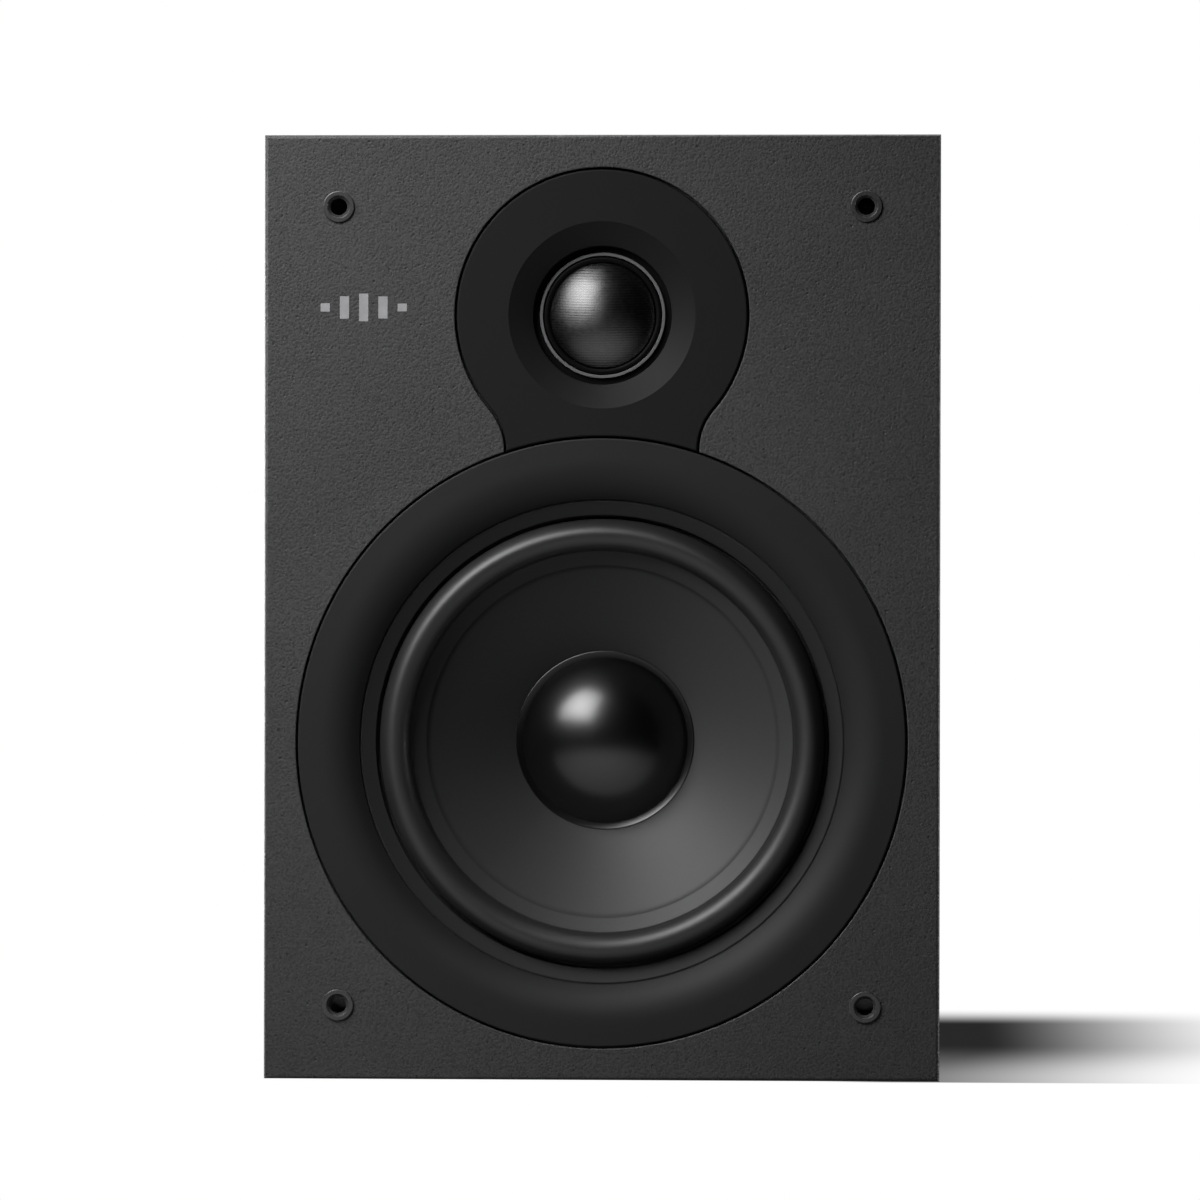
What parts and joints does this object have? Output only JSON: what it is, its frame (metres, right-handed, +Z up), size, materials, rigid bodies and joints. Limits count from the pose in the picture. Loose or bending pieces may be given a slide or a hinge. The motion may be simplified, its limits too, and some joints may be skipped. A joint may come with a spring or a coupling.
{
  "type": "bookshelf speaker",
  "caption": "Black two-way bookshelf loudspeaker: mitred cabinet, coned woofer in a flush trim ring, soft dome tweeter in a keyhole plate, rear reflex port and binding posts.",
  "frame": {"origin": "on the floor under the middle of the cabinet", "axes": "+Z up, the front faces -Y, +X to the right of someone who looks at the front"},
  "size_m": [0.161, 0.24, 0.225],
  "materials": {
    "black_vinyl": "black pebble-grained vinyl wrap on fibreboard",
    "black_board": "painted fibreboard",
    "satin_black_plastic": "satin moulded",
    "socket_plastic": "moulded",
    "surround_rubber": "smooth, slightly glossy",
    "cone_paper": "mineral-filled, satin",
    "cap_gloss": "soft gloss",
    "dome_silk": "coated weave",
    "spider_cloth": "resin-treated corrugated cloth",
    "frame_paint": "black powder coat on pressed steel",
    "zinc_steel": "zinc plated",
    "black_screw": "black zinc",
    "ferrite": "ground ferrite",
    "coil_former": "rolled foil",
    "copper_wire": "enamelled copper winding",
    "gasket_foam": "closed-cell foam",
    "plated_brass": "gold plated, polished",
    "red_plastic": "moulded",
    "black_plastic": "moulded",
    "circuit_board": "phenolic laminate",
    "film_capacitor": "tape wrapped",
    "electrolytic_sleeve": "shrink sleeve",
    "cement_resistor": "unglazed cement",
    "wadding_fleece": "loose polyester fibre",
    "lead_sleeve": "two-core sleeve"
  },
  "bodies": {
    "cabinet": {"top_panel": "black_vinyl", "bottom_panel": "black_vinyl", "left_panel": "black_vinyl", "right_panel": "black_vinyl", "front_baffle": "black_vinyl", "rear_panel": "black_board", "tweeter_faceplate": "satin_black_plastic", "woofer_trim_ring": "satin_black_plastic", "port_tube": "satin_black_plastic", "terminal_cup": "satin_black_plastic", "grille_socket_upper_left": "socket_plastic", "grille_socket_upper_right": "socket_plastic", "grille_socket_lower_left": "socket_plastic", "grille_socket_lower_right": "socket_plastic", "woofer_surround": "surround_rubber", "woofer_spider": "spider_cloth", "woofer_basket": "frame_paint", "woofer_gasket": "gasket_foam", "woofer_top_plate": "zinc_steel", "woofer_magnet": "ferrite", "woofer_pole_yoke": "zinc_steel", "woofer_tag_strip": "circuit_board", "woofer_screw_1": "black_screw", "woofer_screw_2": "black_screw", "woofer_screw_3": "black_screw", "woofer_screw_4": "black_screw", "tweeter_surround": "dome_silk", "tweeter_top_plate": "zinc_steel", "tweeter_magnet": "ferrite", "tweeter_pole_yoke": "zinc_steel", "terminal_cup_gasket": "gasket_foam", "terminal_cup_screw_1": "black_screw", "terminal_cup_screw_2": "black_screw", "terminal_cup_screw_3": "black_screw", "terminal_cup_screw_4": "black_screw", "red_post": "plated_brass", "red_post_nut": "plated_brass", "black_post": "plated_brass", "black_post_nut": "plated_brass", "crossover_board": "circuit_board", "woofer_inductor_coil": "copper_wire", "woofer_inductor_core": "zinc_steel", "tweeter_inductor_coil": "copper_wire", "woofer_capacitor": "electrolytic_sleeve", "tweeter_capacitor": "film_capacitor", "tweeter_resistor": "cement_resistor", "wadding_left": "wadding_fleece", "wadding_right": "wadding_fleece", "woofer_lead": "lead_sleeve", "tweeter_lead": "lead_sleeve"},
    "woofer_cone": {"woofer_cone": "cone_paper", "woofer_dust_cap": "cap_gloss", "voice_coil_former": "coil_former", "voice_coil_winding": "copper_wire"},
    "tweeter_dome": {"tweeter_dome": "dome_silk", "tweeter_voice_coil": "copper_wire"},
    "red_washer": {"red_post_washer": "plated_brass"},
    "red_cap": {"red_post_cap": "red_plastic"},
    "black_washer": {"black_post_washer": "plated_brass"},
    "black_cap": {"black_post_cap": "black_plastic"}
  },
  "joints": [
    {"name": "woofer_travel", "type": "slide", "parent": "cabinet", "child": "woofer_cone", "axis": [0, -1, 0], "range_m": [-0.0045, 0.0045], "stiffness_N_per_m": 1200, "deforming": ["woofer_surround", "woofer_spider"]},
    {"name": "tweeter_travel", "type": "slide", "parent": "cabinet", "child": "tweeter_dome", "axis": [0, -1, 0], "range_m": [-0.0005, 0.0005], "stiffness_N_per_m": 8000, "deforming": ["tweeter_surround"]},
    {"name": "red_post_travel", "type": "slide", "parent": "cabinet", "child": "red_washer", "axis": [0, 1, 0], "range_m": [0, 0.0048]},
    {"name": "red_cap_turn", "type": "hinge", "parent": "red_washer", "child": "red_cap", "pos_m": [-0.014, 0.11, 0.062], "axis": [0, 1, 0], "range_deg": [0, 2160]},
    {"name": "black_post_travel", "type": "slide", "parent": "cabinet", "child": "black_washer", "axis": [0, 1, 0], "range_m": [0, 0.0048]},
    {"name": "black_cap_turn", "type": "hinge", "parent": "black_washer", "child": "black_cap", "pos_m": [0.014, 0.11, 0.062], "axis": [0, 1, 0], "range_deg": [0, 2160]}
  ],
  "couplings": [
    {"joint": "red_cap_turn", "follows": "red_post_travel", "rad_per_m": 7854},
    {"joint": "black_cap_turn", "follows": "black_post_travel", "rad_per_m": 7854}
  ]
}
